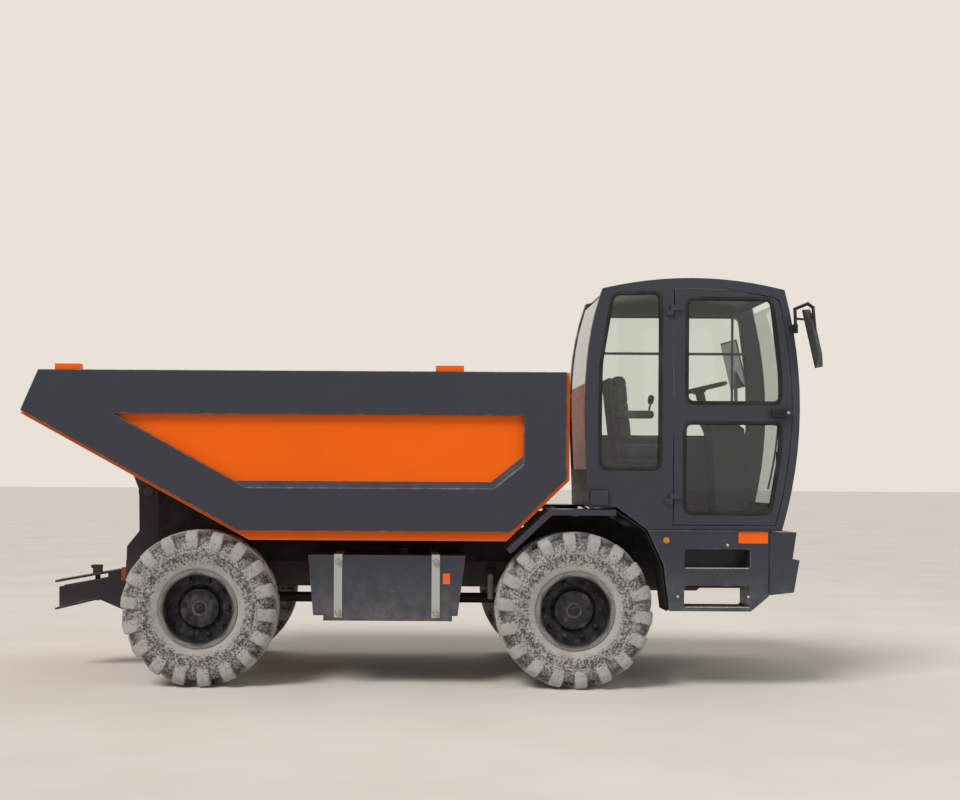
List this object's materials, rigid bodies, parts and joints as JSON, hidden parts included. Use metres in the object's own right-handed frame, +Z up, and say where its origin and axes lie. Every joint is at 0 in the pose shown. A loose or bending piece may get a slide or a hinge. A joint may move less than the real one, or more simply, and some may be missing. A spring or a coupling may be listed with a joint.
{
  "type": "four-wheel-steer site dump truck",
  "caption": "Rigid-frame dump truck with a side-set driver's cab, an engine hood beside it, large lugged tyres, steered axles and an open skip that tips to the rear.",
  "frame": {"origin": "on the ground under the middle of the machine's box", "axes": "+X forward towards the cab, +Y to the machine's left, +Z up"},
  "size_m": [5.47, 2.4646, 2.8158],
  "materials": {
    "chassis_paint": "satin black paint, dusty",
    "body_paint": "anthracite satin paint",
    "orange_paint": "orange gloss paint",
    "tyre": "dusty rubber",
    "rim_paint": "black paint, worn at the flange",
    "steel": "bright rod",
    "casting": "painted casting",
    "glass": "lightly tinted safety glass",
    "plastic": "grained black plastic",
    "vinyl": "black vinyl",
    "lamp": "clear and coloured lenses"
  },
  "bodies": {
    "chassis": {"frame": "chassis_paint", "front_deck": "chassis_paint", "tow_hitch": "chassis_paint", "fuel_tank": "body_paint", "hydraulic_tank": "body_paint", "engine": "casting", "driveline": "casting", "front_axle": "chassis_paint", "rear_axle": "chassis_paint", "cab_floor": "body_paint", "cab_right_side": "body_paint", "cab_left_side": "body_paint", "cab_front": "body_paint", "cab_rear": "body_paint", "cab_roof": "body_paint", "cab_glass": "glass", "seat_base": "chassis_paint", "seat_cushion": "vinyl", "seat_back": "vinyl", "dash": "plastic", "mirror_right": "plastic", "mirror_left": "plastic", "bulkhead": "body_paint", "step_panels": "body_paint", "bumper": "body_paint", "mudguards": "body_paint", "lamps": "lamp"},
    "skip": {"skip_floor": "orange_paint", "skip_front": "orange_paint", "skip_sides": "orange_paint", "skip_side_frames": "body_paint", "skip_subframe": "body_paint"},
    "tip_barrels": {"tip_barrels": "chassis_paint"},
    "tip_rods": {"tip_rods": "steel"},
    "door": {"door": "body_paint", "door_glass": "glass"},
    "hood": {"engine_hood": "body_paint"},
    "steering_wheel": {"steering_wheel": "plastic"},
    "steer_rod_front": {"steer_rod_front": "steel"},
    "steer_rod_rear": {"steer_rod_rear": "steel"},
    "knuckle_fr": {"knuckle_fr": "chassis_paint"},
    "wheel_fr": {"rim_fr": "rim_paint", "tyre_fr": "tyre"},
    "knuckle_fl": {"knuckle_fl": "chassis_paint"},
    "wheel_fl": {"rim_fl": "rim_paint", "tyre_fl": "tyre"},
    "knuckle_rr": {"knuckle_rr": "chassis_paint"},
    "wheel_rr": {"rim_rr": "rim_paint", "tyre_rr": "tyre"},
    "knuckle_rl": {"knuckle_rl": "chassis_paint"},
    "wheel_rl": {"rim_rl": "rim_paint", "tyre_rl": "tyre"}
  },
  "joints": [
    {"name": "steer_front", "type": "hinge", "parent": "chassis", "child": "knuckle_fr", "pos_m": [1.06, -0.74, 0.5375], "axis": [0, 0, 1], "range_deg": [-25, 25]},
    {"name": "steer_front_left", "type": "hinge", "parent": "chassis", "child": "knuckle_fl", "pos_m": [1.06, 0.74, 0.5375], "axis": [0, 0, 1], "range_deg": [-25, 25]},
    {"name": "steer_rear", "type": "hinge", "parent": "chassis", "child": "knuckle_rr", "pos_m": [-1.51, -0.74, 0.5375], "axis": [0, 0, 1], "range_deg": [-25, 25]},
    {"name": "steer_rear_left", "type": "hinge", "parent": "chassis", "child": "knuckle_rl", "pos_m": [-1.51, 0.74, 0.5375], "axis": [0, 0, 1], "range_deg": [-25, 25]},
    {"name": "roll_fr", "type": "hinge", "parent": "knuckle_fr", "child": "wheel_fr", "pos_m": [1.06, -0.895, 0.5375], "axis": [0, 1, 0], "continuous": true},
    {"name": "roll_fl", "type": "hinge", "parent": "knuckle_fl", "child": "wheel_fl", "pos_m": [1.06, 0.895, 0.5375], "axis": [0, 1, 0], "continuous": true},
    {"name": "roll_rr", "type": "hinge", "parent": "knuckle_rr", "child": "wheel_rr", "pos_m": [-1.51, -0.895, 0.5375], "axis": [0, 1, 0], "continuous": true},
    {"name": "roll_rl", "type": "hinge", "parent": "knuckle_rl", "child": "wheel_rl", "pos_m": [-1.51, 0.895, 0.5375], "axis": [0, 1, 0], "continuous": true},
    {"name": "steer_rod_front_slide", "type": "slide", "parent": "chassis", "child": "steer_rod_front", "axis": [0, 1, 0], "range_m": [-0.0985, 0.0985]},
    {"name": "steer_rod_rear_slide", "type": "slide", "parent": "chassis", "child": "steer_rod_rear", "axis": [0, 1, 0], "range_m": [-0.0985, 0.0985]},
    {"name": "tip", "type": "hinge", "parent": "chassis", "child": "skip", "pos_m": [-1.96, 0, 1.33], "axis": [0, -1, 0], "range_deg": [0, 65]},
    {"name": "tip_barrel_swing", "type": "hinge", "parent": "chassis", "child": "tip_barrels", "pos_m": [-0.69, 0, 0.7], "axis": [0, -1, 0], "range_deg": [-24.7, 0]},
    {"name": "tip_rod_slide", "type": "slide", "parent": "tip_barrels", "child": "tip_rods", "axis": [-0.9048, 0, 0.4258], "range_m": [0, 0.2702]},
    {"name": "door_swing", "type": "hinge", "parent": "chassis", "child": "door", "pos_m": [1.71, -1.054, 1.9], "axis": [0, 0, -1], "range_deg": [0, 100]},
    {"name": "hood_lift", "type": "hinge", "parent": "chassis", "child": "hood", "pos_m": [1.945, -0.046, 1.721], "axis": [1, 0, 0], "range_deg": [0, 60]},
    {"name": "steering_wheel_turn", "type": "hinge", "parent": "chassis", "child": "steering_wheel", "pos_m": [1.995, -0.565, 2.085], "axis": [-0.2334, 0, 0.9724], "continuous": true}
  ],
  "couplings": [
    {"joint": "steer_front_left", "follows": "steer_front", "ratio": 1},
    {"joint": "steer_rear_left", "follows": "steer_rear", "ratio": 1},
    {"joint": "steer_rod_front_slide", "follows": "steer_front", "m_per_rad": 0.225},
    {"joint": "steer_rod_rear_slide", "follows": "steer_rear", "m_per_rad": -0.225},
    {"joint": "tip_barrel_swing", "follows": "tip", "ratio": -0.378},
    {"joint": "tip_rod_slide", "follows": "tip", "m_per_rad": 0.238}
  ]
}
